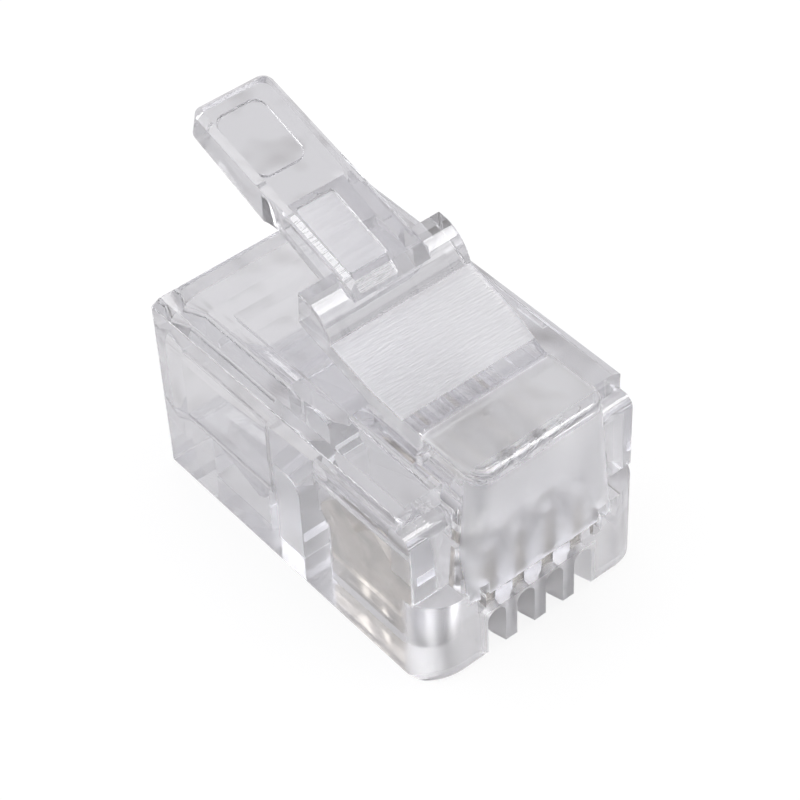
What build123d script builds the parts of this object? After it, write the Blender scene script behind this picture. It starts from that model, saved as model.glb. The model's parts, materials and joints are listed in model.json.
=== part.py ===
"""Four-position modular plug of clear polycarbonate, with its sprung latch and four gold-plated contacts.

Millimetres. +X is the plug's width, +Y runs from the mating nose to the cord end, and +Z points
from the contact side to the latch side. Depths along the plug are measured from the nose's front
face, and each piece is moved at the end so that the origin is under the middle of the whole plug.
"""
import math
import os

from build123d import *

# Contact row
contact_count = 4
contact_pitch = 1.016

# Body
body_width = 7.65
body_length = 11.65
body_height = 6.15
body_edge_width = 0.30
body_edge_drop = 0.16

# Small round that the mould leaves on outer edges
mould_edge = 0.05

# Front block that carries the comb, and the shelf of each side wall above it
comb_setback = 0.15
front_block_height = 3.0
front_corner_radius = 1.1
wall_setback = 0.80
wall_shelf_end = 1.30
wall_shelf_height = 5.45
wall_shelf_round = 0.35
front_bevel_length = 0.62
front_bevel_height = 0.22

# Nose, the raised block in front that carries the latch
nose_length = 2.30
nose_height = 7.17
nose_top_width = 4.42
nose_foot_width = 5.24
nose_foot_height = 2.75
nose_corner_radius = 0.55
nose_brow_radius = 0.22

# Relief in the top face under the latch
relief_width = 4.90
relief_depth = 0.25
relief_end = 9.90
relief_ramp = 0.35

# Comb of slots for the jack's wires, and the moulded pockets between them
comb_slot_width = 0.62
comb_slot_height = 1.72
comb_depth = 0.95
slit_width = 0.36
slit_height = 0.13
slit_depth = 0.30
slit_drop = 0.14
keyhole_width = 0.30
keyhole_bottom = 2.05
keyhole_top = 3.20
keyhole_depth = 0.60

# Contact blades and their slots
blade_thickness = 0.36
blade_slot_clearance = 0.02
blade_end_clearance = 0.05
blade_length = 4.37
blade_recess = 0.28
blade_height = 3.22
blade_heel_radius = 0.55
blade_rear_step = 0.34
blade_rear_step_height = 1.83
blade_tooth_depth = 0.70
blade_tooth_count = 3
blade_barb = 0.04
blade_barb_height = 1.75
blade_rear_barb_height = 2.37
blade_barb_ramp = 0.12

# Conductor channels and the funnel that leads the four conductors into them
channel_diameter = 0.92
channel_height = 3.90
channel_end = 1.55
funnel_start = 5.50
funnel_length = 1.80

# Cord cavity
cavity_start = 7.30
cavity_width = 5.10
cavity_bottom = 1.70
cavity_top = 4.50
cavity_radius = 0.40
cavity_mouth_flare = 0.30
cavity_mouth_length = 0.60

# Conductor clamp bar, just behind the contacts
clamp_window_front = 6.15
clamp_window_rear = 7.20
clamp_window_width = 4.30
clamp_window_top = 2.90
clamp_bar_length = 0.70
clamp_bar_bottom = 0.60
clamp_bar_top = 1.90
clamp_web = 0.18
bar_side_gap = 0.15

# Cord clamp bar, further back
cord_window_front = 7.75
cord_window_rear = 10.30
cord_window_width = 3.60
cord_bar_front_gap = 0.40
cord_bar_hinge = 0.35
cord_bar_nose = 1.05
cord_bar_crown = 0.30

# Latch arm, shoulders and lever
latch_root_radius = 0.28
latch_root_clearance = 0.03
latch_axis_height = 6.745
latch_root_width = 4.30
latch_arm_width = 4.75
latch_arm_taper_end = 4.10
latch_rise = 16.3
shoulder_foot = 5.50
shoulder_bow = (5.82, 8.54)
shoulder_crown = (6.42, 8.88)
shoulder_rear = 6.75
shoulder_height = 8.92
shoulder_underside = (6.83, 7.85)
lever_width = 2.54
lever_edge = 0.18
lever_front_foot = 5.58
lever_front_top = (5.98, 9.09)
lever_tip_top = (12.50, 10.945)
lever_tip_thickness = 0.92
lever_tip_round = 0.32
grip_pad_depth = 0.14
grip_pad_width = 1.60
grip_pad_start = 10.33
grip_pad_margin = 0.31
grip_pad_corner = 0.36
neck_pad_depth = 0.14
neck_pad_width = 1.28
neck_pad_start = 6.97
neck_pad_end = 9.21
neck_scoop_depth = 0.16
neck_scoop_start = 6.42
neck_scoop_end = 10.05
neck_scoop_radius = 1.0
neck_scoop_drop = 0.30
neck_scoop_reach = 2.7

# How far a cutting block runs past the face that it cuts, and how many degrees an edge may lean from an axis
cut_past = 1.0
most_lean_angle = 25

# Values that follow from the sizes above
nearly_along = math.cos(math.radians(most_lean_angle))
contact_xs = [(i - (contact_count - 1) / 2) * contact_pitch for i in range(contact_count)]
fin_xs = [(i - (contact_count - 2) / 2) * contact_pitch for i in range(contact_count - 1)]
blade_slot_width = blade_thickness + 2 * blade_slot_clearance
blade_front = comb_depth + blade_end_clearance
blade_slot_end = blade_front + blade_length + blade_end_clearance
relief_floor = body_height - relief_depth
rise = math.tan(math.radians(latch_rise))
lever_slope = math.atan2(lever_tip_top[1] - lever_front_top[1], lever_tip_top[0] - lever_front_top[0])
lever_tip_bottom = (
    lever_tip_top[0] + lever_tip_thickness * math.sin(lever_slope),
    lever_tip_top[1] - lever_tip_thickness * math.cos(lever_slope),
)
overall_length = lever_tip_bottom[0]


def block(x0, x1, y0, y1, z0, z1):
    """Returns the box between two corners."""
    centre = Pos((x0 + x1) / 2, (y0 + y1) / 2, (z0 + z1) / 2)
    return centre * Box(x1 - x0, y1 - y0, z1 - z0)


def slab(wire_edges, width):
    """Closes a side outline, drawn as (depth, height), and gives it a width centred on the plug."""
    face = make_face(wire_edges)
    return extrude(Plane.YZ * face, amount=width / 2, both=True)


def side_slab(points, width):
    """Returns a slab with a straight-sided side outline."""
    return slab(Polyline(*points, close=True), width)


def end_prism(points, y0, y1):
    """Returns a prism along the plug from an end outline, drawn as (across, height)."""
    face = make_face(Polyline(*points, close=True))
    return Pos(0, y1, 0) * extrude(Plane.XZ * face, amount=y1 - y0)


def plan_prism(points, z0, z1):
    """Returns an upright prism from a plan outline, drawn as (across, depth)."""
    face = make_face(Polyline(*points, close=True))
    return Pos(0, 0, z0) * extrude(face, amount=z1 - z0)


def cross_rod(y, z, radius, width):
    """Returns a round rod across the plug."""
    return Pos(0, y, z) * Rot(0, 90, 0) * Cylinder(radius, width)


def lower_body():
    """The full-length lower half: square behind, with two large upright corners at the comb."""
    half = body_width / 2
    low = block(-half, half, comb_setback, body_length, 0, front_block_height)
    low = fillet(low.edges().filter_by(Axis.Z).group_by(Axis.Y)[-1], mould_edge)
    low = fillet(low.edges().filter_by(Axis.Z).group_by(Axis.Y)[0], front_corner_radius)
    return fillet(low.faces().sort_by(Axis.Z)[0].edges(), mould_edge)


def upper_body():
    """The upper half: a side outline with a shelf in front, crossed with an end outline with eased edges."""
    shelf_corner = (wall_setback, wall_shelf_height - wall_shelf_round)
    shelf_start = (wall_setback + wall_shelf_round, wall_shelf_height)
    outline = [
        Line((wall_setback, front_block_height), shelf_corner),
        RadiusArc(shelf_corner, shelf_start, wall_shelf_round),
        Line(shelf_start, (wall_shelf_end, wall_shelf_height)),
        Line((wall_shelf_end, wall_shelf_height), (wall_shelf_end, body_height)),
        Line((wall_shelf_end, body_height), (body_length, body_height)),
        Line((body_length, body_height), (body_length, front_block_height)),
        Line((body_length, front_block_height), (wall_setback, front_block_height)),
    ]
    half = body_width / 2
    end_outline = [
        (-half, front_block_height),
        (half, front_block_height),
        (half, body_height - body_edge_drop),
        (half - body_edge_width, body_height),
        (-half + body_edge_width, body_height),
        (-half, body_height - body_edge_drop),
    ]
    upper = slab(outline, body_width) & end_prism(end_outline, 0, body_length)
    eased = upper.edges().filter_by(Axis.Y).filter_by(lambda edge: edge.center().Z > wall_shelf_height)
    upper = fillet(eased, mould_edge)
    return fillet(upper.edges().filter_by(Axis.Z).group_by(Axis.Y)[-1], mould_edge)


def nose():
    """The raised block that carries the latch: tapered sides, rounded front corners and brow."""
    foot = nose_foot_width / 2
    top = nose_top_width / 2
    outline = [(-foot, nose_foot_height), (foot, nose_foot_height), (top, nose_height), (-top, nose_height)]
    solid = end_prism(outline, 0, nose_length)
    front_edges = solid.edges().group_by(Axis.Y)[0]
    upright = [edge for edge in front_edges if abs(edge.tangent_at(0.5).Z) > nearly_along]
    solid = fillet(upright, nose_corner_radius)
    brow = solid.faces().sort_by(Axis.Z)[-1].edges().filter_by(lambda edge: edge.center().Y < nose_length / 2)
    return fillet(brow, nose_brow_radius)


def top_relief():
    """The shallow relief in the top face that the latch arm sinks into, with a sloping end."""
    return side_slab(
        [
            (nose_length, relief_floor),
            (relief_end - relief_ramp, relief_floor),
            (relief_end, body_height + relief_depth),
            (nose_length, body_height + relief_depth),
        ],
        relief_width,
    )


def front_bevel():
    """The lead-in bevel along the bottom front edge of the comb and both side blocks."""
    bevel_slope = front_bevel_height / front_bevel_length
    return side_slab(
        [
            (comb_setback - cut_past, -cut_past),
            (comb_setback - cut_past, front_bevel_height + cut_past * bevel_slope),
            (comb_setback + front_bevel_length, 0),
            (comb_setback + front_bevel_length, -cut_past),
        ],
        body_width + cut_past,
    )


def comb_slot(x):
    """One round-topped slot through the front, wide enough for a wire of the jack."""
    radius = comb_slot_width / 2
    crown = comb_slot_height - radius
    straight = block(x - radius, x + radius, -cut_past, comb_depth, -cut_past, crown)
    middle = Pos(x, (comb_depth - cut_past) / 2, crown)
    return straight + middle * Rot(90, 0, 0) * Cylinder(radius, comb_depth + cut_past)


def blade_slot(x):
    """One narrow slot for a blade, stepped as the blade is, open below and into the conductor channel above."""
    step_end = blade_slot_end - blade_rear_step
    step_bottom = blade_recess + blade_rear_step_height
    step_top = step_bottom + blade_rear_step
    outline = [
        (comb_depth, -cut_past),
        (step_end, -cut_past),
        (step_end, step_bottom),
        (blade_slot_end, step_top),
        (blade_slot_end, channel_height),
        (comb_depth, channel_height),
    ]
    return Pos(x, 0, 0) * side_slab(outline, blade_slot_width)


def conductor_channel(x):
    """One round channel over a blade, closed at the nose."""
    length = funnel_start - channel_end
    centre = Pos(x, channel_end + length / 2, channel_height)
    return centre * Rot(90, 0, 0) * Cylinder(channel_diameter / 2, length)


def conductor_funnel():
    """The tapered throat between the cord cavity and the four channels."""
    row = contact_pitch * (contact_count - 1) + channel_diameter
    front = Plane.XZ.offset(-funnel_start) * (Pos(0, channel_height) * Rectangle(row, channel_diameter))
    height = cavity_top - cavity_bottom
    middle = (cavity_top + cavity_bottom) / 2
    rear_plane = Plane.XZ.offset(-funnel_start - funnel_length)
    rear = rear_plane * (Pos(0, middle) * Rectangle(cavity_width - 2 * cavity_radius, height - cavity_radius))
    return loft([front, rear])


def cord_cavity():
    """The round-cornered space for the flat cord, flared at its mouth."""
    height = cavity_top - cavity_bottom
    middle = (cavity_top + cavity_bottom) / 2
    section = Pos(0, middle) * RectangleRounded(cavity_width, height, cavity_radius)
    past_end = body_length + cut_past
    tube = extrude(Plane.XZ.offset(-past_end) * section, amount=past_end - cavity_start)
    inner = Plane.XZ.offset(-body_length + cavity_mouth_length) * section
    flare = cavity_mouth_flare
    wide = RectangleRounded(cavity_width + 2 * flare, height + 2 * flare, cavity_radius + flare)
    mouth = loft([inner, Plane.XZ.offset(-body_length) * (Pos(0, middle) * wide)])
    return tube + mouth


def clamp_window():
    """The round-topped window in the contact side that frees the conductor clamp bar."""
    half = clamp_window_width / 2
    radius = (clamp_window_rear - clamp_window_front) / 2
    crown = clamp_window_top - radius
    straight = block(-half, half, clamp_window_front, clamp_window_rear, -cut_past, crown)
    return straight + cross_rod(clamp_window_front + radius, crown, radius, clamp_window_width)


def clamp_bar():
    """The conductor clamp bar, held to the window's front edge by a thin web."""
    half = clamp_window_width / 2 - bar_side_gap
    rear = clamp_window_front + clamp_bar_length
    root = clamp_window_front - clamp_web
    bar = side_slab(
        [
            (clamp_window_front + clamp_web, clamp_bar_bottom),
            (rear, clamp_bar_bottom + clamp_web),
            (rear, clamp_bar_top),
            (clamp_window_front + clamp_web, clamp_bar_top - clamp_web),
        ],
        2 * half,
    )
    web_top = clamp_bar_bottom + 2 * clamp_web
    web = block(-half, half, root, clamp_window_front + clamp_web, clamp_bar_bottom, web_top)
    return bar + web


def cord_window():
    """The window in the contact side that frees the cord clamp bar."""
    half = cord_window_width / 2
    top = cavity_bottom + cavity_radius / 2
    return block(-half, half, cord_window_front, cord_window_rear, -cut_past, top)


def cord_bar():
    """The cord clamp bar: a wedge that hangs from a thin hinge at the back of its window."""
    front = cord_window_front + cord_bar_front_gap
    rear = cord_window_rear + cord_bar_hinge
    return side_slab(
        [
            (front, cavity_bottom - cord_bar_nose),
            (front + cord_bar_crown, cavity_bottom - cord_bar_nose - cord_bar_crown / 2),
            (rear, cavity_bottom - cord_bar_hinge),
            (rear, cavity_bottom),
            (front + cord_bar_crown, cavity_bottom + cord_bar_crown),
            (front, cavity_bottom + cord_bar_crown / 2),
        ],
        cord_window_width - 2 * bar_side_gap,
    )


def fin_slit(x):
    """The shallow slit in the front face above one fin, under the nose's ledge."""
    top = nose_foot_height - slit_drop
    half = slit_width / 2
    return block(x - half, x + half, -cut_past, comb_setback + slit_depth, top - slit_height, top)


def keyhole(side):
    """The upright pocket in the front face beside the row of slots."""
    x = side * contact_pitch * contact_count / 2
    half = keyhole_width / 2
    return block(x - half, x + half, -cut_past, keyhole_depth, keyhole_bottom, keyhole_top)


def hinge_groove():
    """The round groove across the back of the nose in which the latch root turns."""
    return cross_rod(nose_length, latch_axis_height, latch_root_radius + latch_root_clearance, body_width)


def make_housing():
    solid = lower_body() + upper_body() + nose()
    solid -= top_relief()
    solid -= front_bevel()
    for x in contact_xs:
        solid -= comb_slot(x)
        solid -= blade_slot(x)
        solid -= conductor_channel(x)
    solid -= conductor_funnel()
    solid -= cord_cavity()
    solid -= clamp_window()
    solid -= cord_window()
    solid += clamp_bar()
    solid += cord_bar()
    for x in fin_xs:
        solid -= fin_slit(x)
    for side in (-1, 1):
        solid -= keyhole(side)
    return solid - hinge_groove()


def arm_and_shoulders():
    """The sprung arm with its round root, and the two shoulders that lock behind the jack's lip."""
    axis = Vector(nose_length, latch_axis_height)
    angle = math.radians(latch_rise)
    back_run = shoulder_underside[0] - axis.X
    back_height = shoulder_underside[1] - axis.Y
    back_reach = math.hypot(back_run, back_height)
    back_angle = math.atan2(back_height, back_run) + math.asin(latch_root_radius / back_reach)
    top = (axis.X - latch_root_radius * math.sin(angle), axis.Y + latch_root_radius * math.cos(angle))
    bottom = (
        axis.X + latch_root_radius * math.sin(back_angle),
        axis.Y - latch_root_radius * math.cos(back_angle),
    )
    front = (axis.X - latch_root_radius, axis.Y)
    foot = (shoulder_foot, top[1] + (shoulder_foot - top[0]) * rise)
    outline = [
        ThreePointArc(bottom, front, top),
        Line(top, foot),
        ThreePointArc(foot, shoulder_bow, shoulder_crown),
        Line(shoulder_crown, (shoulder_rear, shoulder_height)),
        Line((shoulder_rear, shoulder_height), shoulder_underside),
        Line(shoulder_underside, bottom),
    ]
    root = latch_root_width / 2
    half = latch_arm_width / 2
    plan = [
        (-root, axis.X - cut_past),
        (root, axis.X - cut_past),
        (root, axis.X),
        (half, latch_arm_taper_end),
        (half, shoulder_underside[0] + cut_past),
        (-half, shoulder_underside[0] + cut_past),
        (-half, latch_arm_taper_end),
        (-root, axis.X),
    ]
    arm = slab(outline, latch_arm_width) & plan_prism(plan, 0, 2 * body_height)
    side_edges = arm.edges().filter_by(lambda edge: abs(abs(edge.center().X) - half) < mould_edge / 2)
    return fillet(side_edges, mould_edge)


def underside_at(y):
    """Height of the lever's lower side edge at a depth."""
    start_y, start_z = shoulder_underside
    end_y, end_z = lever_tip_bottom
    return start_z + (y - start_y) * (end_z - start_z) / (end_y - start_y)


def top_at(y):
    """Height of the lever's top face at a depth."""
    return lever_front_top[1] + (y - lever_front_top[0]) * math.tan(lever_slope)


def neck_scoop():
    """The shallow hollow along the right side of the neck, with a long round where it ends at the grip."""
    inner = lever_width / 2 - neck_scoop_depth
    outer = inner + neck_scoop_radius
    bend = neck_scoop_end - neck_scoop_radius
    plan = [
        Line((inner, neck_scoop_start), (inner, bend)),
        RadiusArc((inner, bend), (outer, neck_scoop_end), neck_scoop_radius),
        Line((outer, neck_scoop_end), (outer, neck_scoop_start)),
        Line((outer, neck_scoop_start), (inner, neck_scoop_start)),
    ]
    upright = extrude(make_face(plan), amount=2 * body_height)
    side = side_slab(
        [
            (neck_scoop_start, top_at(neck_scoop_start) - neck_scoop_drop),
            (neck_scoop_end, top_at(neck_scoop_end) - neck_scoop_drop),
            (neck_scoop_end, top_at(neck_scoop_end) - neck_scoop_reach),
            (neck_scoop_start, top_at(neck_scoop_start) - neck_scoop_reach),
        ],
        2 * outer,
    )
    return upright & side


def pad(width, y0, y1, depth, corner):
    """Returns a raised pad under the lever, with round corners and eased lower edges."""
    plan = extrude(Pos(0, (y0 + y1) / 2) * RectangleRounded(width, y1 - y0, corner), amount=2 * body_height)
    layer = side_slab(
        [
            (y0 - depth, underside_at(y0 - depth) - depth),
            (y1 + depth, underside_at(y1 + depth) - depth),
            (y1 + depth, underside_at(y1 + depth) + depth / 2),
            (y0 - depth, underside_at(y0 - depth) + depth / 2),
        ],
        lever_width,
    )
    raised = plan & layer
    return fillet(raised.faces().sort_by(Axis.Z)[0].edges(), mould_edge)


def runs_in_side_plane(edge):
    """Whether an edge runs along or up the plug rather than across it."""
    return abs(edge.tangent_at(0.5).X) < 1 - nearly_along


def lever():
    """The lever: a beam with eased top edges, scooped sides along its neck and two pads underneath."""
    front_foot_height = latch_axis_height + (lever_front_foot - nose_length) * rise
    beam = side_slab(
        [
            (lever_front_foot, front_foot_height),
            lever_front_top,
            lever_tip_top,
            lever_tip_bottom,
            shoulder_underside,
        ],
        lever_width,
    )
    tip_edges = beam.edges().filter_by(lambda edge: edge.center().Y > grip_pad_start + grip_pad_corner)
    upright = [edge for edge in tip_edges if runs_in_side_plane(edge) and edge.length < lever_width / 2]
    beam = fillet(upright, lever_tip_round)
    top_edges = beam.faces().filter_by(lambda face: face.normal_at().Z > nearly_along).edges()
    long_top = [edge for edge in top_edges if runs_in_side_plane(edge) and edge.length > lever_width]
    beam = chamfer(long_top, lever_edge)
    scoop = neck_scoop()
    beam = beam - scoop - mirror(scoop, about=Plane.YZ)
    return beam + neck_pad() + grip_pad()


def neck_pad():
    """The narrow pad that stiffens the neck between the shoulders and the grip."""
    return pad(neck_pad_width, neck_pad_start, neck_pad_end, neck_pad_depth, 2 * mould_edge)


def grip_pad():
    """The broad pad under the thumb grip."""
    end = lever_tip_bottom[0] - grip_pad_margin
    return pad(grip_pad_width, grip_pad_start, end, grip_pad_depth, grip_pad_corner)


def make_latch():
    return arm_and_shoulders() + lever()


def make_contact(x):
    """One blade: rounded heel for the jack's wire, stepped back, piercing teeth and two retaining barbs."""
    y0 = blade_front
    y1 = blade_front + blade_length
    z0 = blade_recess
    z1 = blade_recess + blade_height
    step_y = y1 - blade_rear_step
    step_z = z0 + blade_rear_step_height
    outline = [
        (y0, z0 + blade_heel_radius),
        (y0, z0 + blade_barb_height),
        (y0 - blade_barb, z0 + blade_barb_height),
        (y0, z0 + blade_barb_height + blade_barb_ramp),
    ]
    pitch = (y1 - y0) / blade_tooth_count
    for tooth in range(blade_tooth_count):
        start = y0 + tooth * pitch
        outline.append((start, z1 - blade_tooth_depth))
        outline.append((start + pitch / 2, z1))
    outline.append((y1, z1 - blade_tooth_depth))
    outline.append((y1, z0 + blade_rear_barb_height + blade_barb_ramp))
    outline.append((y1 + blade_barb, z0 + blade_rear_barb_height))
    outline.append((y1, z0 + blade_rear_barb_height))
    outline.append((y1, step_z + blade_rear_step))
    outline.append((step_y, step_z))
    outline.append((step_y, z0))
    outline.append((y0 + blade_heel_radius, z0))
    heel = RadiusArc((y0 + blade_heel_radius, z0), (y0, z0 + blade_heel_radius), blade_heel_radius)
    return Pos(x, 0, 0) * slab([Polyline(*outline), heel], blade_thickness)


def export_piece(shape, name):
    """Moves a piece into the plug's own frame and writes it."""
    export_step(Pos(0, -overall_length / 2, 0) * shape, "parts/" + name + ".step")


os.makedirs("parts", exist_ok=True)
export_piece(make_housing(), "housing")
export_piece(make_latch(), "latch")
for number, contact_x in enumerate(contact_xs, start=1):
    export_piece(make_contact(contact_x), "contact_" + str(number))
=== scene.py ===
"""Looks of a clear four-position modular plug, with its sprung latch and four gold-plated blades.

Metres. +X runs across the contact row, +Y from the mating nose to the cord end, +Z from the contact
side to the latch side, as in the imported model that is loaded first.
"""
import json
import math

import bpy
from mathutils import Matrix, Vector


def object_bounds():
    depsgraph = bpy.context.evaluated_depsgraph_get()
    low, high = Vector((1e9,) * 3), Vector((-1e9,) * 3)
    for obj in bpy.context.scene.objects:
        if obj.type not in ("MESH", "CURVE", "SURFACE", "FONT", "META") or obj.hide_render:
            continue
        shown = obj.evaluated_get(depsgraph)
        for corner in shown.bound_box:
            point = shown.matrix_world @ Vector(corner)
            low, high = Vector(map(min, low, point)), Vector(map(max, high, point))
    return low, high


bl_info = {
    "name": "Clear modular plug",
    "version": (1, 0, 0),
    "blender": (4, 5, 0),
    "location": "3D View > Sidebar > Plug",
    "description": "Dresses a clear modular plug and sets its studio",
    "category": "Object",
}

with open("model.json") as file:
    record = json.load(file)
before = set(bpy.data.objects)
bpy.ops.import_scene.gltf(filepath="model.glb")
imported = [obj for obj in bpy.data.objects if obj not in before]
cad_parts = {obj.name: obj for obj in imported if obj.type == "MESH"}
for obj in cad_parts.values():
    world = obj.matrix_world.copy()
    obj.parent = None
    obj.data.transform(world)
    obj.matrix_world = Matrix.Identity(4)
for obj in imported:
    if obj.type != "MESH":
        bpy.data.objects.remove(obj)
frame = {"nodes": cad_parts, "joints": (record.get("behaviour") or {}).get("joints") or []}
cad_low, cad_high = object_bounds()

MM = 0.001
HINGE = Vector(frame["joints"][0]["pos_m"])
NOSE_FRONT = cad_low.y

RAMP_RISE = math.radians(16.3)
ROOT_RADIUS = 0.28 * MM
CREASE_DEPTH = 5.50 * MM
RAMP_LINES_START = 2.85 * MM
SHOULDER_UNDERSIDE = (6.83 * MM, 7.85 * MM)
LEVER_TIP_BOTTOM = (12.752 * MM, 10.060 * MM)
NECK_PAD_DEPTH = 0.14 * MM
NECK_PAD_START = 6.97 * MM
NECK_PAD_END = 9.21 * MM
NECK_PAD_HALF = 0.64 * MM
NECK_BAND_THICKNESS = 0.04 * MM
RAMP_LINES_HALF = 2.35 * MM

# Boxes over the middle of the plug, in millimetres: half width, front and rear as measured from the nose's
# front, bottom, top, and how far inside its sides each one reaches its full strength.
FOOT = (3.90, -0.30, 1.10, -0.10, 2.20, 0.10)
COMB = (1.95, 0.10, 0.98, -0.10, 1.80, 0.01)
BLADE_SLOTS = (1.80, 0.99, 5.45, 0.02, 3.48, 0.01)
CHANNEL_FRONTS = (2.10, 1.35, 2.40, 2.60, 4.40, 0.01)
CHANNELS = (2.10, 2.41, 5.60, 3.49, 4.40, 0.01)
CORD_CAVITY = (2.90, 5.61, 11.60, 1.20, 4.90, 0.01)
NOSE_FRONT_GRAIN = (2.60, -0.25, 0.60, 2.50, 6.95, 0.20)
NOSE_TOP_GRAIN = (2.30, 0.22, 2.28, 6.90, 7.50, 0.15)
# The two nose boxes carry both the waves of shrinkage and patches of painted shade, and the nose top's box also
# carries a painted highlight with its frost. The clamp window and the face behind the ramp get a painted
# highlight with their frost.
NOSE_FRONT_SINK_AND_SHADE = (2.62, -0.20, 0.80, 2.80, 6.90, 0.20)
NOSE_TOP_SINK_AND_SHADE = (2.40, 0.30, 2.30, 6.80, 7.50, 0.20)
CLAMP_WINDOW = (2.19, 6.11, 7.24, -0.10, 2.94, 0.01)
BEHIND_RAMP = (2.36, 2.85, 5.50, 5.60, 9.00, 0.01)
BLADE_FEET = (2.00, 0.90, 5.40, 0.25, 1.15, 0.20)

# What the shared node groups take in each material. Scales are per metre.
SINK_WAVES = {"Wave_Scale": 900.0, "Peel_Depth": 0.0}
PUNCH_WAVES = {"Wave_Scale": 900.0, "Peel_Depth": 0.0}
BURNISH_WAVES = {"Wave_Scale": 650.0, "Peel_Depth": 0.0}
PLATE_LINES = {"Across_Scale": 9000.0, "Along_Scale": 1200.0}
PLATE_REFLECTION_PATCHES = {"Patch_Scale": 1100.0, "Contrast": 3.0}
RAMP_LINES = {"Across_Scale": 2200.0, "Along_Scale": 18000.0, "Sharpness": 3.0}
NECK_LINES = {"Across_Scale": 900.0, "Along_Scale": 8000.0, "Sharpness": 4.0}
FLOOR_POOLS = {"Patch_Scale": 600.0, "Contrast": 4.0}
PATCH_LEVEL = 0.52

# Shares of the painted shade tint and of the painted highlight tint, and frosts as (share of the painted
# highlight tint, roughness).
FOOT_SHADE = 0.6
LINED_HIGHLIGHT_SHARE = 0.5
NOSE_TOP_HIGHLIGHT_FROST = (0.8, 0.15)
BEHIND_RAMP_HIGHLIGHT_FROST = (0.5, 0.05)

# The plate: its painted darker patches, which stand in for dark reflections, as a share of the gold, and what
# its lines and feet add to its roughness.
DARK_REFLECTION_SHARE = 0.4
PLATE_LINE_ROUGHNESS = 0.10
PLATE_FOOT_ROUGHNESS = 0.04

# The floor's pools are shares of the seen tone. The dark side is measured from the photograph's direction.
DIM_POOL = (0.50, 0.475, 0.465)
BRIGHT_POOL = 1.10
FLOOR_WHITE_SHARE = 0.85
FLOOR_TONE_SHARE = 0.8
FLOOR_GAP = 0.01 * MM
WALL_LEVEL = 0.35
DARK_SIDE_EDGE = math.radians(34.0)
DARK_SIDE_CORE = math.radians(14.0)
SENSOR_WIDTH = 36.0
CLIP_START = 0.001
CLIP_END = 10.0

# Lamps: name, place, width and height in metres, power in watts, and whether it shows through clear plastic.
LAMPS = [
    ("key", (-0.160, 0.040, 0.160), 0.120, 0.120, 0.10, True),
    ("back", (0.030, 0.200, 0.160), 0.140, 0.100, 0.20, False),
    ("fill", (0.130, -0.130, 0.180), 0.130, 0.130, 0.12, False),
    ("rim", (-0.155, 0.123, 0.105), 0.055, 0.055, 0.11, False),
    ("above", (0.095, -0.060, 0.195), 0.090, 0.090, 0.16, False),
]


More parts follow.
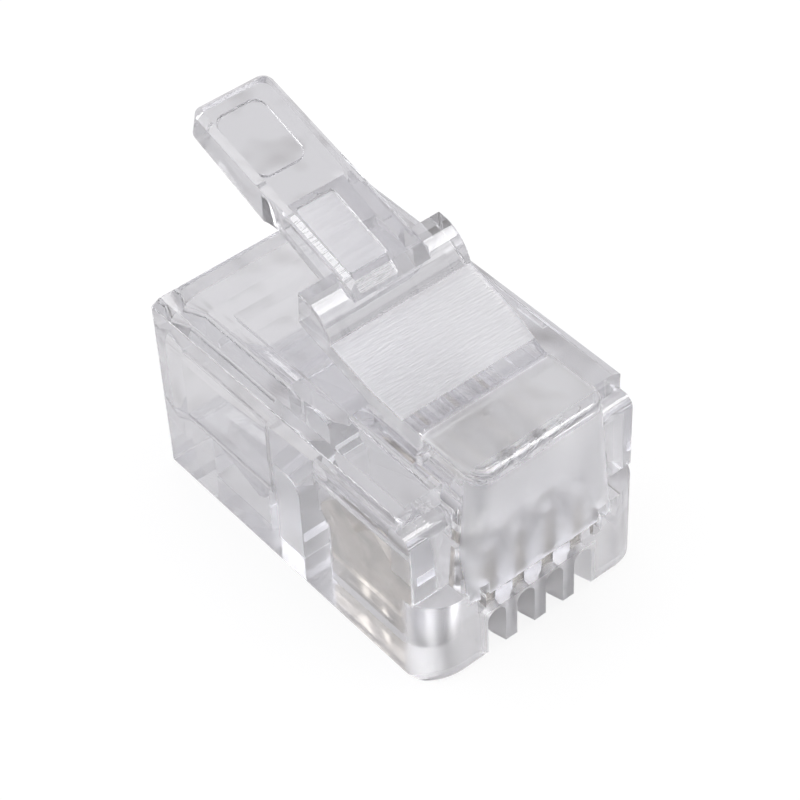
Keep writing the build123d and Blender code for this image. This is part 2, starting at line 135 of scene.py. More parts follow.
class PlugFinish(bpy.types.PropertyGroup):
    """Colours and surface finish of the plug's own materials.

    What a face or a box of the plastic has as its roughness is added to the plastic's own.
    """

    plastic_tint: bpy.props.FloatVectorProperty(
        name="Plastic tint",
        description="What light keeps when it goes in and out of the polycarbonate once",
        subtype="COLOR",
        default=(0.860, 0.857, 0.872),
        min=0.0,
        max=1.0,
    )
    latch_tint: bpy.props.FloatVectorProperty(
        name="Latch tint",
        description="The same for the latch, whose thin lever has fewer faces behind one another",
        subtype="COLOR",
        default=(0.785, 0.782, 0.800),
        min=0.0,
        max=1.0,
    )
    plastic_roughness: bpy.props.FloatProperty(
        name="Plastic roughness",
        description="Roughness of the polished mould faces",
        default=0.025,
        min=0.0,
        max=1.0,
    )
    plastic_ior: bpy.props.FloatProperty(
        name="Plastic index",
        description="Refractive index of polycarbonate",
        default=1.585,
        min=1.0,
        max=2.5,
    )
    plastic_clearness: bpy.props.FloatProperty(
        name="Plastic clearness",
        description="Share of the light that goes through the plastic; the rest scatters as a faint haze",
        default=0.95,
        min=0.0,
        max=1.0,
    )
    shadow_tint: bpy.props.FloatVectorProperty(
        name="Shadow tint",
        description="What a lamp's light keeps at each face that it passes on its way through the plug",
        subtype="COLOR",
        default=(0.9, 0.9, 0.92),
        min=0.0,
        max=1.0,
    )
    ripple_depth: bpy.props.FloatProperty(
        name="Ripple depth",
        description="Depth of the slow waves that moulding leaves in the faces",
        default=0.0008 * MM,
        precision=6,
        unit="LENGTH",
    )
    # Painted shade: this tint darkens the painted dark patches in the thick nose, where dark things behind
    # would show, and the painted shade on the nose's foot.
    painted_shade_tint: bpy.props.FloatVectorProperty(
        name="Painted shade tint",
        description="The same for the dark patches in the thick nose, and for the shade of its foot",
        subtype="COLOR",
        default=(0.72, 0.71, 0.70),
        min=0.0,
        max=1.0,
    )
    # Painted highlight: this tint whitens the lined and frosted faces, standing in for the light that they
    # scatter back.
    satin_highlight_tint: bpy.props.FloatVectorProperty(
        name="Satin highlight tint",
        description="The same for lined and frosted faces, which scatter light back to the eye",
        subtype="COLOR",
        default=(1.0, 1.0, 1.0),
        min=0.0,
        max=1.0,
    )
    satin_depth: bpy.props.FloatProperty(
        name="Satin depth",
        description="Depth of the lines on the latch",
        default=0.010 * MM,
        precision=6,
        unit="LENGTH",
    )
    satin_roughness: bpy.props.FloatProperty(
        name="Satin roughness",
        description="Roughness of the lined faces of the latch",
        default=0.30,
        min=0.0,
        max=1.0,
    )
    frost_roughness: bpy.props.FloatProperty(
        name="Frost roughness",
        description="Roughness of the conductor clamp's window",
        default=0.50,
        min=0.0,
        max=1.0,
    )
    foot_roughness: bpy.props.FloatProperty(
        name="Foot roughness",
        description="Roughness of the nose's foot, over its whole width",
        default=0.14,
        min=0.0,
        max=1.0,
    )
    comb_roughness: bpy.props.FloatProperty(
        name="Comb roughness",
        description="Roughness that the mould's spark-cut inserts leave on the fins and in the comb's slots",
        default=0.30,
        min=0.0,
        max=1.0,
    )
    slot_roughness: bpy.props.FloatProperty(
        name="Slot roughness",
        description="Roughness of the walls of the blade slots",
        default=0.12,
        min=0.0,
        max=1.0,
    )
    core_roughness: bpy.props.FloatProperty(
        name="Core roughness",
        description="Roughness that the mould's long cores leave in the channels and the cord cavity",
        default=0.07,
        min=0.0,
        max=1.0,
    )
    nose_roughness: bpy.props.FloatProperty(
        name="Nose roughness",
        description="Roughness of the nose's flat front",
        default=0.42,
        min=0.0,
        max=1.0,
    )
    nose_top_roughness: bpy.props.FloatProperty(
        name="Nose top roughness",
        description="Roughness of the nose's top face",
        default=0.16,
        min=0.0,
        max=1.0,
    )
    sink_depth: bpy.props.FloatProperty(
        name="Sink depth",
        description="Depth of the waves where the thick nose shrinks as it cools",
        default=0.02 * MM,
        precision=6,
        unit="LENGTH",
    )
    gold: bpy.props.FloatVectorProperty(
        name="Gold plate",
        description="Colour of the plated contacts",
        subtype="COLOR",
        default=(0.78, 0.735, 0.65),
        min=0.0,
        max=1.0,
    )
    gold_roughness: bpy.props.FloatProperty(
        name="Gold roughness",
        description="Roughness of the rolled and plated contacts",
        default=0.12,
        min=0.0,
        max=1.0,
    )
    punch_depth: bpy.props.FloatProperty(
        name="Punch depth",
        description="Depth of the slow bends that punching leaves in the blades' flat sides",
        default=0.15 * MM,
        precision=6,
        unit="LENGTH",
    )
    burnish_depth: bpy.props.FloatProperty(
        name="Burnish depth",
        description="Depth of the bends along the blades' feet, which throw the glints",
        default=0.60 * MM,
        precision=6,
        unit="LENGTH",
    )


class PlugStage(bpy.types.PropertyGroup):
    """Floor, lights and camera."""

    camera_place: bpy.props.FloatVectorProperty(
        name="Camera place",
        description="Where the camera stands",
        default=(-29.062 * MM, -38.229 * MM, 51.799 * MM),
        subtype="TRANSLATION",
        unit="LENGTH",
    )
    camera_target: bpy.props.FloatVectorProperty(
        name="Camera target",
        description="Where the camera looks",
        default=(-0.222 * MM, -0.870 * MM, 4.577 * MM),
        subtype="TRANSLATION",
        unit="LENGTH",
    )
    camera_roll: bpy.props.FloatProperty(
        name="Camera roll",
        description="How far the camera leans to the right",
        default=math.radians(2.99),
        subtype="ANGLE",
        unit="ROTATION",
    )
    camera_lens: bpy.props.FloatProperty(
        name="Camera lens",
        description="Focal length in millimetres on a 36 mm sensor",
        default=112.49,
        min=10.0,
    )
    floor_size: bpy.props.FloatProperty(
        name="Floor size",
        description="Side of the square floor",
        default=0.9,
        unit="LENGTH",
    )
    floor_colour: bpy.props.FloatVectorProperty(
        name="Floor colour",
        description="Colour of the floor under the lamps",
        subtype="COLOR",
        default=(0.86, 0.86, 0.86),
    )
    seen_tone: bpy.props.FloatVectorProperty(
        name="Seen tone",
        description="Tone of the floor as it shows through the plastic and in the metal, before its pools",
        subtype="COLOR",
        default=(0.62, 0.615, 0.63),
    )
    wall_foot_tone: bpy.props.FloatVectorProperty(
        name="Wall foot tone",
        description="Tone of the studio at the height of the floor",
        subtype="COLOR",
        default=(0.54, 0.535, 0.55),
    )
    wall_tone: bpy.props.FloatVectorProperty(
        name="Wall tone",
        description="Tone of the studio about a third of the way up",
        subtype="COLOR",
        default=(0.64, 0.635, 0.65),
    )
    ceiling_tone: bpy.props.FloatVectorProperty(
        name="Ceiling tone",
        description="Tone of the studio straight above",
        subtype="COLOR",
        default=(0.79, 0.785, 0.80),
    )
    dark_side_tone: bpy.props.FloatVectorProperty(
        name="Dark side tone",
        description="Tone of the studio on the side where the photograph's camera stands",
        subtype="COLOR",
        default=(0.16, 0.15, 0.14),
    )


def add_node(tree, kind, label="", **settings):
    """Adds a node, gives it a label and sets its own options."""
    made = tree.nodes.new(kind)
    made.label = label
    for name, value in settings.items():
        setattr(made, name, value)
    return made


def join(tree, source, socket):
    """Links an output to an input."""
    tree.links.new(source, socket)


def maths(tree, operation, first, second=None, third=None):
    """Adds a Math node. Each operand is a number or an output socket. Returns its output."""
    made = add_node(tree, "ShaderNodeMath", operation=operation)
    for index, operand in enumerate((first, second, third)):
        if operand is None:
            continue
        if isinstance(operand, (int, float)):
            made.inputs[index].default_value = operand
        else:
            join(tree, operand, made.inputs[index])
    return made.outputs[0]


def new_group(name, inputs, outputs):
    """Makes a shader node group. inputs are (name, kind, default) and outputs are (name, kind)."""
    group = bpy.data.node_groups.new(name, "ShaderNodeTree")
    for label, kind, default in inputs:
        socket = group.interface.new_socket(name=label, in_out="INPUT", socket_type=kind)
        socket.default_value = default
    for label, kind in outputs:
        group.interface.new_socket(name=label, in_out="OUTPUT", socket_type=kind)
    entry = group.nodes.new("NodeGroupInput")
    leave = group.nodes.new("NodeGroupOutput")
    return group, entry, leave


def mould_ripple_group():
    """Slow waves and fine orange peel of a moulded face.

    Height is the sum of a noise at Wave Scale and a finer one at Peel Scale, each times its depth. The
    scales that the group starts with give waves of about 1.5 mm and 0.25 mm.
    """
    group, entry, leave = new_group(
        "mould_ripple",
        [
            ("Wave Scale", "NodeSocketFloat", 700.0),
            ("Wave Depth", "NodeSocketFloat", 1.0),
            ("Peel Scale", "NodeSocketFloat", 4000.0),
            ("Peel Depth", "NodeSocketFloat", 0.08),
        ],
        [("Height", "NodeSocketFloat")],
    )
    place = add_node(group, "ShaderNodeTexCoord")
    heights = []
    layers = (("Wave Scale", "Wave Depth", 1.0), ("Peel Scale", "Peel Depth", 2.0))
    for scale_name, depth_name, detail in layers:
        noise = add_node(group, "ShaderNodeTexNoise", scale_name)
        noise.inputs["Detail"].default_value = detail
        join(group, place.outputs["Object"], noise.inputs["Vector"])
        join(group, entry.outputs[scale_name], noise.inputs["Scale"])
        heights.append(maths(group, "MULTIPLY", noise.outputs["Fac"], entry.outputs[depth_name]))
    join(group, maths(group, "ADD", *heights), leave.inputs["Height"])
    return group


def satin_lines_group():
    """Fine lines, as a milled mould or a roll leaves them.

    X and Z are multiplied by Across Scale and Y by Along Scale, and a noise at that place, sharpened, is the
    height. The lines run across the plug where Along Scale is the larger, and along it where Across Scale is.
    """
    group, entry, leave = new_group(
        "satin_lines",
        [
            ("Across Scale", "NodeSocketFloat", 350.0),
            ("Along Scale", "NodeSocketFloat", 16000.0),
            ("Sharpness", "NodeSocketFloat", 2.2),
        ],
        [("Height", "NodeSocketFloat")],
    )
    place = add_node(group, "ShaderNodeTexCoord")
    scale = add_node(group, "ShaderNodeCombineXYZ")
    join(group, entry.outputs["Across Scale"], scale.inputs["X"])
    join(group, entry.outputs["Along Scale"], scale.inputs["Y"])
    join(group, entry.outputs["Across Scale"], scale.inputs["Z"])
    packed = add_node(group, "ShaderNodeVectorMath", operation="MULTIPLY")
    join(group, place.outputs["Object"], packed.inputs[0])
    join(group, scale.outputs["Vector"], packed.inputs[1])
    noise = add_node(group, "ShaderNodeTexNoise", "lines")
    noise.inputs["Scale"].default_value = 1.0
    noise.inputs["Detail"].default_value = 3.0
    join(group, packed.outputs["Vector"], noise.inputs["Vector"])
    centred = maths(group, "SUBTRACT", noise.outputs["Fac"], 0.5)
    steep = maths(group, "MULTIPLY_ADD", centred, entry.outputs["Sharpness"], 0.5)
    clipped = add_node(group, "ShaderNodeClamp")
    join(group, steep, clipped.inputs["Value"])
    join(group, clipped.outputs[0], leave.inputs["Height"])
    return group


def painted_patches_group():
    """Soft painted patches: painted shade in the thick nose, painted dark reflections on the plate, and painted
    pools of light and shade on the floor.

    A noise at Patch Scale, less the patch level and times Contrast, is clipped to between zero and one. It is
    one in the middle of a patch.
    """
    group, entry, leave = new_group(
        "painted_patches",
        [("Patch Scale", "NodeSocketFloat", 900.0), ("Contrast", "NodeSocketFloat", 4.0)],
        [("Patches", "NodeSocketFloat")],
    )
    place = add_node(group, "ShaderNodeTexCoord")
    noise = add_node(group, "ShaderNodeTexNoise", "patches")
    noise.inputs["Detail"].default_value = 1.0
    join(group, place.outputs["Object"], noise.inputs["Vector"])
    join(group, entry.outputs["Patch Scale"], noise.inputs["Scale"])
    centred = maths(group, "SUBTRACT", noise.outputs["Fac"], PATCH_LEVEL)
    clipped = add_node(group, "ShaderNodeClamp")
    join(group, maths(group, "MULTIPLY", centred, entry.outputs["Contrast"]), clipped.inputs["Value"])
    join(group, clipped.outputs[0], leave.inputs["Patches"])
    return group


def face_band_group():
    """Mask of a flat face that is parallel to X.

    A point's distance from the face is its offset from Origin along the face's own normal. The mask is one
    within Thickness of the face, between Start and End in depth, and within Half Width of the middle.
    """
    group, entry, leave = new_group(
        "face_band",
        [
            ("Origin", "NodeSocketVector", (0.0, 0.0, 0.0)),
            ("Normal", "NodeSocketVector", (0.0, 0.0, 1.0)),
            ("Thickness", "NodeSocketFloat", 0.03 * MM),
            ("Start", "NodeSocketFloat", -1.0),
            ("End", "NodeSocketFloat", 1.0),
            ("Half Width", "NodeSocketFloat", 1.0),
        ],
        [("Mask", "NodeSocketFloat")],
    )
    place = add_node(group, "ShaderNodeTexCoord")
    offset = add_node(group, "ShaderNodeVectorMath", operation="SUBTRACT")
    join(group, place.outputs["Object"], offset.inputs[0])
    join(group, entry.outputs["Origin"], offset.inputs[1])
    along = add_node(group, "ShaderNodeVectorMath", operation="DOT_PRODUCT")
    join(group, offset.outputs["Vector"], along.inputs[0])
    join(group, entry.outputs["Normal"], along.inputs[1])
    axes = add_node(group, "ShaderNodeSeparateXYZ")
    join(group, place.outputs["Object"], axes.inputs[0])
    distance = maths(group, "ABSOLUTE", along.outputs["Value"])
    sideways = maths(group, "ABSOLUTE", axes.outputs["X"])
    near = maths(group, "LESS_THAN", distance, entry.outputs["Thickness"])
    after = maths(group, "GREATER_THAN", axes.outputs["Y"], entry.outputs["Start"])
    before = maths(group, "LESS_THAN", axes.outputs["Y"], entry.outputs["End"])
    inside = maths(group, "LESS_THAN", sideways, entry.outputs["Half Width"])
    lengthwise = maths(group, "MULTIPLY", after, before)
    faced = maths(group, "MULTIPLY", near, inside)
    join(group, maths(group, "MULTIPLY", lengthwise, faced), leave.inputs["Mask"])
    return group


def box_mask_group():
    """Mask of a box: zero outside Low and High, and one from a distance of Soften inside them."""
    group, entry, leave = new_group(
        "box_mask",
        [
            ("Low", "NodeSocketVector", (0.0, 0.0, 0.0)),
            ("High", "NodeSocketVector", (0.0, 0.0, 0.0)),
            ("Soften", "NodeSocketFloat", 0.01 * MM),
        ],
        [("Mask", "NodeSocketFloat")],
    )
    place = add_node(group, "ShaderNodeTexCoord")
    above = add_node(group, "ShaderNodeVectorMath", operation="SUBTRACT")
    join(group, place.outputs["Object"], above.inputs[0])
    join(group, entry.outputs["Low"], above.inputs[1])
    below = add_node(group, "ShaderNodeVectorMath", operation="SUBTRACT")
    join(group, entry.outputs["High"], below.inputs[0])
    join(group, place.outputs["Object"], below.inputs[1])
    nearest = add_node(group, "ShaderNodeVectorMath", operation="MINIMUM")
    join(group, above.outputs["Vector"], nearest.inputs[0])
    join(group, below.outputs["Vector"], nearest.inputs[1])
    axes = add_node(group, "ShaderNodeSeparateXYZ")
    join(group, nearest.outputs["Vector"], axes.inputs[0])
    least = maths(group, "MINIMUM", axes.outputs["X"], axes.outputs["Y"])
    least = maths(group, "MINIMUM", least, axes.outputs["Z"])
    clipped = add_node(group, "ShaderNodeClamp")
    join(group, maths(group, "DIVIDE", least, entry.outputs["Soften"]), clipped.inputs["Value"])
    join(group, clipped.outputs[0], leave.inputs["Mask"])
    return group


def shared(name, maker):
    """Returns a node group, which is made the first time that it is asked for."""
    return bpy.data.node_groups.get(name) or maker()


def place_group(tree, name, maker, **values):
    """Adds a group node and sets its inputs, whose names are given with _ for each space."""
    made = add_node(tree, "ShaderNodeGroup", name)
    made.node_tree = shared(name, maker)
    for key, value in values.items():
        made.inputs[key.replace("_", " ")].default_value = value
    return made


def box_mask(tree, region):
    """Places the mask of a region that is given in millimetres, and returns its output."""
    half_width, front, rear, bottom, top, soften = region
    values = {
        "Low": (-half_width * MM, NOSE_FRONT + front * MM, bottom * MM),
        "High": (half_width * MM, NOSE_FRONT + rear * MM, top * MM),
        "Soften": soften * MM,
    }
    return place_group(tree, "box_mask", box_mask_group, **values).outputs["Mask"]


def mix_colours(tree, label, factor, first, second):
    """Mixes two colours by a factor socket. Each colour is four numbers or an output socket."""
    mix = add_node(tree, "ShaderNodeMix", label, data_type="RGBA")
    join(tree, factor, mix.inputs["Factor"])
    for name, colour in (("A", first), ("B", second)):
        if isinstance(colour, tuple):
            mix.inputs[name].default_value = colour
        else:
            join(tree, colour, mix.inputs[name])
    return mix.outputs["Result"]


def masked_sum(tree, start, masks):
    """Adds up masks, each times its own strength, from a start value. masks are (output socket, strength)."""
    total = start
    for mask, strength in masks:
        total = maths(tree, "MULTIPLY_ADD", mask, strength, total)
    return total


def clear_plastic(
    name, finish, tint, satin_faces=(), grained_boxes=(), sink_and_shade_boxes=(), frost_and_highlight_boxes=(), shaded_boxes=()
):
    """Clear polycarbonate that bends light.

    It has moulded ripple all over, satin lines on the given faces, a rougher grain inside the grained boxes,
    waves of shrinkage inside the nose's sink boxes together with painted shade in dark patches there, which
    stands in for dark things seen through the thick nose, a whitish frost inside the frosted boxes whose
    brighter tint is a painted highlight, and painted shade in grey inside the shaded boxes. A lamp's light goes
    straight through, with the shadow tint at each face.

    satin_faces are (face, lines), and the lined faces get a painted highlight too. grained_boxes are (region,
    roughness) and the sink boxes are regions. The frosted boxes are (region, share of the painted highlight
    tint, roughness), and shaded_boxes are (region, share of the painted shade tint).
    """
    material = bpy.data.materials.new(name)
    material.use_nodes = True
    tree = material.node_tree
    tree.nodes.clear()
    output = add_node(tree, "ShaderNodeOutputMaterial")
    plastic = add_node(tree, "ShaderNodeBsdfPrincipled", "polycarbonate")
    plastic.inputs["IOR"].default_value = finish.plastic_ior
    plastic.inputs["Transmission Weight"].default_value = finish.plastic_clearness

    grains = [(box_mask(tree, region), roughness) for region, roughness in grained_boxes]

    ripple = place_group(tree, "mould_ripple", mould_ripple_group)
    waves = add_node(tree, "ShaderNodeBump", "moulded ripple")
    waves.inputs["Distance"].default_value = finish.ripple_depth
    join(tree, ripple.outputs["Height"], waves.inputs["Height"])
    normal = waves.outputs["Normal"]
    # The sum below is the share of painted shade: dark patches in the sink boxes and the shade in the shaded
    # boxes.
    painted_shade = 0.0
    for region in sink_and_shade_boxes:
        sink_and_shade = box_mask(tree, region)
        slow = place_group(tree, "mould_ripple", mould_ripple_group, **SINK_WAVES)
        dents = add_node(tree, "ShaderNodeBump", "shrinkage")
        dents.inputs["Distance"].default_value = finish.sink_depth
        join(tree, maths(tree, "MULTIPLY", slow.outputs["Height"], sink_and_shade), dents.inputs["Height"])
        join(tree, normal, dents.inputs["Normal"])
        normal = dents.outputs["Normal"]
        patches = place_group(tree, "painted_patches", painted_patches_group)
        painted_shade = maths(tree, "MULTIPLY_ADD", patches.outputs["Patches"], sink_and_shade, painted_shade)
    for region, share in shaded_boxes:
        painted_shade = maths(tree, "MULTIPLY_ADD", box_mask(tree, region), share, painted_shade)
    # The sum below is the share of painted highlight: the lined faces, brighter still along their lines, and
    # the frosted boxes.
    satin = 0.0
    for face, lines in satin_faces:
        band = place_group(tree, "face_band", face_band_group, **face).outputs["Mask"]
        height = place_group(tree, "satin_lines", satin_lines_group, **lines).outputs["Height"]
        height = maths(tree, "MULTIPLY", height, band)
        grooves = add_node(tree, "ShaderNodeBump", "satin lines")
        grooves.inputs["Distance"].default_value = finish.satin_depth
        join(tree, height, grooves.inputs["Height"])
        join(tree, normal, grooves.inputs["Normal"])
        normal = grooves.outputs["Normal"]
        grains.append((band, finish.satin_roughness))
        satin = maths(tree, "MULTIPLY_ADD", maths(tree, "ADD", band, height), LINED_HIGHLIGHT_SHARE, satin)
    for region, share, roughness in frost_and_highlight_boxes:
        frost = box_mask(tree, region)
        grains.append((frost, roughness))
        satin = maths(tree, "MULTIPLY_ADD", frost, share, satin)
    join(tree, normal, plastic.inputs["Normal"])
    join(tree, masked_sum(tree, finish.plastic_roughness, grains), plastic.inputs["Roughness"])

    colour = (*tint, 1.0)
    # Painted highlight first, then painted shade, both mixed into the plastic's colour.
    if satin_faces or frost_and_highlight_boxes:
        satin = maths(tree, "MINIMUM", satin, 1.0)
        colour = mix_colours(tree, "satin tint", satin, colour, (*finish.satin_highlight_tint, 1.0))
    if sink_and_shade_boxes or shaded_boxes:
        colour = mix_colours(tree, "clouded tint", painted_shade, colour, (*finish.painted_shade_tint, 1.0))
    join(tree, colour, plastic.inputs["Base Color"])

    lamp = add_node(tree, "ShaderNodeLightPath")
    through = add_node(tree, "ShaderNodeBsdfTransparent", "light through the plastic")
    through.inputs["Color"].default_value = (*finish.shadow_tint, 1.0)
    choose = add_node(tree, "ShaderNodeMixShader")
    join(tree, lamp.outputs["Is Shadow Ray"], choose.inputs[0])
    join(tree, plastic.outputs["BSDF"], choose.inputs[1])
    join(tree, through.outputs["BSDF"], choose.inputs[2])
    join(tree, choose.outputs[0], output.inputs["Surface"])
    return material


def gold_plate(name, finish):
    """Gold plate over rolled bronze.

    It has rolling lines, painted darker patches that stand in for the plate's dark reflections, and slow bends
    in its flat sides. The bends are deeper along the feet, where they throw glints.
    """
    material = bpy.data.materials.new(name)
    material.use_nodes = True
    tree = material.node_tree
    metal = tree.nodes["Principled BSDF"]
    metal.inputs["Metallic"].default_value = 1.0
    lines = place_group(tree, "satin_lines", satin_lines_group, **PLATE_LINES)
    patches = place_group(tree, "painted_patches", painted_patches_group, **PLATE_REFLECTION_PATCHES)
    # Painted darker patches in the plate's colour stand in for dark reflections in the metal.
    bright = (*finish.gold, 1.0)
    dark_reflection = (*(DARK_REFLECTION_SHARE * channel for channel in finish.gold), 1.0)
    tone = mix_colours(tree, "plate colour", patches.outputs["Patches"], bright, dark_reflection)
    join(tree, tone, metal.inputs["Base Color"])
    foot = box_mask(tree, BLADE_FEET)
    grains = [(lines.outputs["Height"], PLATE_LINE_ROUGHNESS), (foot, PLATE_FOOT_ROUGHNESS)]
    rough = masked_sum(tree, finish.gold_roughness, grains)
    join(tree, rough, metal.inputs["Roughness"])
    dents = place_group(tree, "mould_ripple", mould_ripple_group, **PUNCH_WAVES)
    punched = add_node(tree, "ShaderNodeBump", "bends that punching leaves")
    punched.inputs["Distance"].default_value = finish.punch_depth
    join(tree, dents.outputs["Height"], punched.inputs["Height"])
    blows = place_group(tree, "mould_ripple", mould_ripple_group, **BURNISH_WAVES)
    burnished = add_node(tree, "ShaderNodeBump", "burnished foot")
    burnished.inputs["Distance"].default_value = finish.burnish_depth
    join(tree, maths(tree, "MULTIPLY", blows.outputs["Height"], foot), burnished.inputs["Height"])
    join(tree, punched.outputs["Normal"], burnished.inputs["Normal"])
    join(tree, burnished.outputs["Normal"], metal.inputs["Normal"])
    return material


def dress(piece, material):
    """Gives a piece one material."""
    piece.data.materials.clear()
    piece.data.materials.append(material)


def latch_faces():
    """The two lined faces of the latch, each with its lines: the ramp and the pad under the neck."""
    ramp_normal = (0.0, -math.sin(RAMP_RISE), math.cos(RAMP_RISE))
    ramp_origin = tuple(HINGE + ROOT_RADIUS * Vector(ramp_normal))
    ramp = {
        "Origin": ramp_origin,
        "Normal": ramp_normal,
        "Start": NOSE_FRONT + RAMP_LINES_START,
        "End": NOSE_FRONT + CREASE_DEPTH,
        "Half_Width": RAMP_LINES_HALF,
    }
    near_end, far_end = SHOULDER_UNDERSIDE, LEVER_TIP_BOTTOM
    neck_rise = math.atan2(far_end[1] - near_end[1], far_end[0] - near_end[0])
    neck = {
        "Origin": (0.0, NOSE_FRONT + near_end[0], near_end[1] - NECK_PAD_DEPTH),
        "Normal": (0.0, -math.sin(neck_rise), math.cos(neck_rise)),
        "Thickness": NECK_BAND_THICKNESS,
        "Start": NOSE_FRONT + NECK_PAD_START,
        "End": NOSE_FRONT + NECK_PAD_END,
        "Half_Width": NECK_PAD_HALF,
    }
    return [(ramp, RAMP_LINES), (neck, NECK_LINES)]


def housing_grain(finish):
    """The regions of the housing that are rougher than its polished faces, each with its roughness."""
    return [
        (FOOT, finish.foot_roughness),
        (COMB, finish.comb_roughness),
        (BLADE_SLOTS, finish.slot_roughness),
        (CHANNEL_FRONTS, finish.comb_roughness),
        (CHANNELS, finish.core_roughness),
        (CORD_CAVITY, finish.core_roughness),
        (NOSE_FRONT_GRAIN, finish.nose_roughness),
        (NOSE_TOP_GRAIN, finish.nose_top_roughness),
    ]


class PLUG_OT_dress_housing(bpy.types.Operator):
    """Gives the moulded housing its clear polycarbonate"""

    bl_idname = "plug.dress_housing"
    bl_label = "Dress Housing"

    def execute(self, context):
        finish = context.scene.plug_finish
        plastic = clear_plastic(
            "clear_housing",
            finish,
            finish.plastic_tint,
            grained_boxes=housing_grain(finish),
            # The sink boxes also get patches of painted shade, the frosted boxes a painted highlight, and the
            # foot painted shade.
            sink_and_shade_boxes=[NOSE_FRONT_SINK_AND_SHADE, NOSE_TOP_SINK_AND_SHADE],
            frost_and_highlight_boxes=[(CLAMP_WINDOW, 1.0, finish.frost_roughness), (NOSE_TOP_SINK_AND_SHADE, *NOSE_TOP_HIGHLIGHT_FROST)],
            shaded_boxes=[(FOOT, FOOT_SHADE)],
        )
        dress(frame["nodes"]["housing"], plastic)
        return {"FINISHED"}


class PLUG_OT_dress_latch(bpy.types.Operator):
    """Gives the latch its clear polycarbonate, with satin lines on the ramp and under the neck"""

    bl_idname = "plug.dress_latch"
    bl_label = "Dress Latch"

    def execute(self, context):
        finish = context.scene.plug_finish
        plastic = clear_plastic(
            "clear_latch",
            finish,
            finish.latch_tint,
            # The lined faces and the face behind the ramp also get a painted highlight in their colour.
            satin_faces=latch_faces(),
            frost_and_highlight_boxes=[(BEHIND_RAMP, *BEHIND_RAMP_HIGHLIGHT_FROST)],
        )
        dress(frame["nodes"]["latch"], plastic)
        return {"FINISHED"}


class PLUG_OT_dress_contacts(bpy.types.Operator):
    """Gives the contact blades their gold plate"""

    bl_idname = "plug.dress_contacts"
    bl_label = "Dress Contacts"

    def execute(self, context):
        material = gold_plate("gold_plate", context.scene.plug_finish)
        for name, piece in frame["nodes"].items():
            if name.startswith("contact_"):
                dress(piece, material)
        return {"FINISHED"}


def studio_ray(tree):
    """Returns a Light Path node, and a value of one for a ray that comes through plastic or off a gloss."""
    path = add_node(tree, "ShaderNodeLightPath")
    return path, maths(tree, "MAXIMUM", path.outputs["Is Glossy Ray"], path.outputs["Is Transmission Ray"])


def floor_material(stage):
    """Pale floor.

    The camera sees it nearly white with the plug's shadow. The plastic and the metal show it mostly in the
    studio's tone, in bright and dim pools.
    """
    material = bpy.data.materials.new("pale_floor")
    material.use_nodes = True
    tree = material.node_tree
    tree.nodes.clear()
    output = add_node(tree, "ShaderNodeOutputMaterial")
    lit = add_node(tree, "ShaderNodeBsdfDiffuse", "lit floor")
    lit.inputs["Color"].default_value = (*stage.floor_colour, 1.0)
    white = add_node(tree, "ShaderNodeEmission", "white to the camera")
    tone = add_node(tree, "ShaderNodeEmission", "studio tone")
    pools = place_group(tree, "painted_patches", painted_patches_group, **FLOOR_POOLS)
    dim = (*(share * channel for share, channel in zip(DIM_POOL, stage.seen_tone)), 1.0)
    bright = (*(BRIGHT_POOL * channel for channel in stage.seen_tone), 1.0)
    pooled = mix_colours(tree, "pools of light", pools.outputs["Patches"], bright, dim)
    join(tree, pooled, tone.inputs["Color"])
    path, seen = studio_ray(tree)
    for_camera = add_node(tree, "ShaderNodeMixShader")
    whiteness = maths(tree, "MULTIPLY", path.outputs["Is Camera Ray"], FLOOR_WHITE_SHARE)
    join(tree, whiteness, for_camera.inputs[0])
    join(tree, lit.outputs[0], for_camera.inputs[1])
    join(tree, white.outputs[0], for_camera.inputs[2])
    for_plastic = add_node(tree, "ShaderNodeMixShader")
    join(tree, maths(tree, "MULTIPLY", seen, FLOOR_TONE_SHARE), for_plastic.inputs[0])
    join(tree, for_camera.outputs[0], for_plastic.inputs[1])
    join(tree, tone.outputs[0], for_plastic.inputs[2])
    join(tree, for_plastic.outputs[0], output.inputs["Surface"])
    return material


def add_floor(stage):
    """A square floor just below the plug's foot."""
    half = stage.floor_size / 2
    corners = [(-half, -half), (half, -half), (half, half), (-half, half)]
    mesh = bpy.data.meshes.new("floor")
    mesh.from_pydata([(x, y, cad_low.z - FLOOR_GAP) for x, y in corners], [], [(0, 1, 2, 3)])
    floor = bpy.data.objects.new("floor", mesh)
    bpy.context.scene.collection.objects.link(floor)
    dress(floor, floor_material(stage))


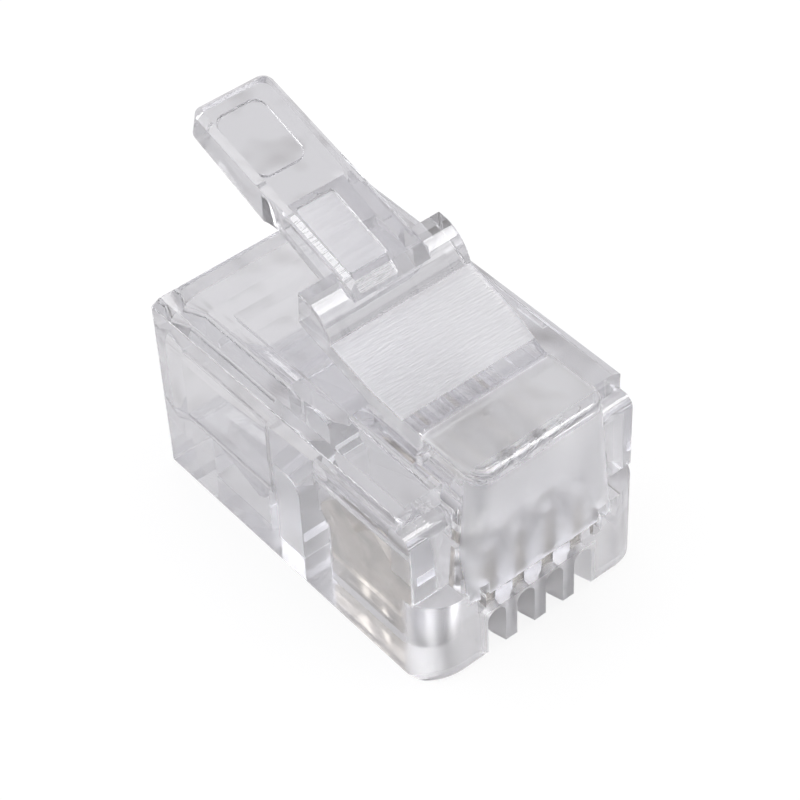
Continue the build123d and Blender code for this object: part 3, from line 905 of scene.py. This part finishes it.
def set_world(stage):
    """Soft studio.

    It is white to the camera. To all else it is a tone that brightens upwards, with one dark side that stays
    where the photograph's camera stands, whatever view is rendered.
    """
    world = bpy.data.worlds.new("soft_studio")
    bpy.context.scene.world = world
    world.use_nodes = True
    tree = world.node_tree
    tree.nodes.clear()
    output = add_node(tree, "ShaderNodeOutputWorld")
    place = add_node(tree, "ShaderNodeTexCoord")
    axes = add_node(tree, "ShaderNodeSeparateXYZ")
    join(tree, place.outputs["Generated"], axes.inputs[0])
    ramp = add_node(tree, "ShaderNodeValToRGB", "walls to ceiling")
    ramp.color_ramp.elements[0].position = 0.0
    ramp.color_ramp.elements[0].color = (*stage.wall_foot_tone, 1.0)
    ramp.color_ramp.elements[1].position = 1.0
    ramp.color_ramp.elements[1].color = (*stage.ceiling_tone, 1.0)
    middle = ramp.color_ramp.elements.new(WALL_LEVEL)
    middle.color = (*stage.wall_tone, 1.0)
    join(tree, axes.outputs["Z"], ramp.inputs["Fac"])
    towards = (Vector(stage.camera_place) - Vector(stage.camera_target)).normalized()
    facing = add_node(tree, "ShaderNodeVectorMath", "towards the dark side", operation="DOT_PRODUCT")
    facing.inputs[1].default_value = towards
    join(tree, place.outputs["Generated"], facing.inputs[0])
    shade = add_node(tree, "ShaderNodeMapRange", interpolation_type="SMOOTHSTEP")
    shade.inputs["From Min"].default_value = math.cos(DARK_SIDE_EDGE)
    shade.inputs["From Max"].default_value = math.cos(DARK_SIDE_CORE)
    join(tree, facing.outputs["Value"], shade.inputs["Value"])
    dark = (*stage.dark_side_tone, 1.0)
    tone = mix_colours(tree, "dark side of the studio", shade.outputs["Result"], ramp.outputs["Color"], dark)
    studio = add_node(tree, "ShaderNodeBackground", "studio")
    join(tree, tone, studio.inputs["Color"])
    white = add_node(tree, "ShaderNodeBackground", "white to the camera")
    white.inputs["Color"].default_value = (1.0, 1.0, 1.0, 1.0)
    path = add_node(tree, "ShaderNodeLightPath")
    choose = add_node(tree, "ShaderNodeMixShader")
    join(tree, path.outputs["Is Camera Ray"], choose.inputs[0])
    join(tree, studio.outputs[0], choose.inputs[1])
    join(tree, white.outputs[0], choose.inputs[2])
    join(tree, choose.outputs[0], output.inputs["Surface"])


def add_softbox(name, place, target, width, height, watts, seen_through):
    """A rectangular lamp that faces a point. seen_through says whether it shows through clear plastic."""
    lamp = bpy.data.lights.new(name, "AREA")
    lamp.shape = "RECTANGLE"
    lamp.size = width
    lamp.size_y = height
    lamp.energy = watts
    made = bpy.data.objects.new(name, lamp)
    made.location = place
    made.rotation_mode = "QUATERNION"
    made.rotation_quaternion = (Vector(target) - Vector(place)).to_track_quat("-Z", "Y")
    made.visible_transmission = seen_through
    bpy.context.scene.collection.objects.link(made)


def add_lights():
    """The lamps, all turned to the middle of the plug."""
    middle = (cad_low + cad_high) / 2
    for name, place, *settings in LAMPS:
        add_softbox(name, place, middle, *settings)


def add_camera(stage):
    """The camera at the photograph's place: it looks at the target and then leans to the right."""
    lens = bpy.data.cameras.new("camera")
    lens.lens = stage.camera_lens
    lens.sensor_width = SENSOR_WIDTH
    lens.clip_start = CLIP_START
    lens.clip_end = CLIP_END
    camera = bpy.data.objects.new("camera", lens)
    place = Vector(stage.camera_place)
    look = (Vector(stage.camera_target) - place).to_track_quat("-Z", "Y").to_matrix().to_4x4()
    camera.matrix_world = Matrix.Translation(place) @ look @ Matrix.Rotation(-stage.camera_roll, 4, "Z")
    bpy.context.scene.collection.objects.link(camera)
    bpy.context.scene.camera = camera


class PLUG_OT_build_stage(bpy.types.Operator):
    """Sets the floor, the soft studio, the lamps and the camera"""

    bl_idname = "plug.build_stage"
    bl_label = "Build Stage"

    def execute(self, context):
        stage = context.scene.plug_stage
        add_floor(stage)
        set_world(stage)
        add_lights()
        add_camera(stage)
        scene = context.scene
        scene.view_settings.view_transform = "Standard"
        scene.cycles.max_bounces = 24
        scene.cycles.transmission_bounces = 24
        scene.cycles.glossy_bounces = 16
        scene.cycles.caustics_refractive = False
        return {"FINISHED"}


class PLUG_PT_panel(bpy.types.Panel):
    """Lists the plug's finish and its operators"""

    bl_label = "Modular Plug"
    bl_idname = "PLUG_PT_panel"
    bl_space_type = "VIEW_3D"
    bl_region_type = "UI"
    bl_category = "Plug"

    def draw(self, context):
        for group in (context.scene.plug_finish, context.scene.plug_stage):
            for name in group.__annotations__:
                self.layout.prop(group, name)
        for operator in OPERATORS:
            self.layout.operator(operator.bl_idname)


GROUPS = (PlugFinish, PlugStage)
OPERATORS = (PLUG_OT_dress_housing, PLUG_OT_dress_latch, PLUG_OT_dress_contacts, PLUG_OT_build_stage)
CLASSES = (*GROUPS, *OPERATORS, PLUG_PT_panel)


def register():
    """Registers the classes and gives the scene its two groups of values."""
    for each in CLASSES:
        bpy.utils.register_class(each)
    bpy.types.Scene.plug_finish = bpy.props.PointerProperty(type=PlugFinish)
    bpy.types.Scene.plug_stage = bpy.props.PointerProperty(type=PlugStage)


def unregister():
    """Takes the groups of values and the classes away again."""
    del bpy.types.Scene.plug_stage
    del bpy.types.Scene.plug_finish
    for each in reversed(CLASSES):
        bpy.utils.unregister_class(each)


def main():
    """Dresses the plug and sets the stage."""
    register()
    bpy.ops.plug.dress_housing()
    bpy.ops.plug.dress_latch()
    bpy.ops.plug.dress_contacts()
    bpy.ops.plug.build_stage()


if __name__ == "__main__":
    main()
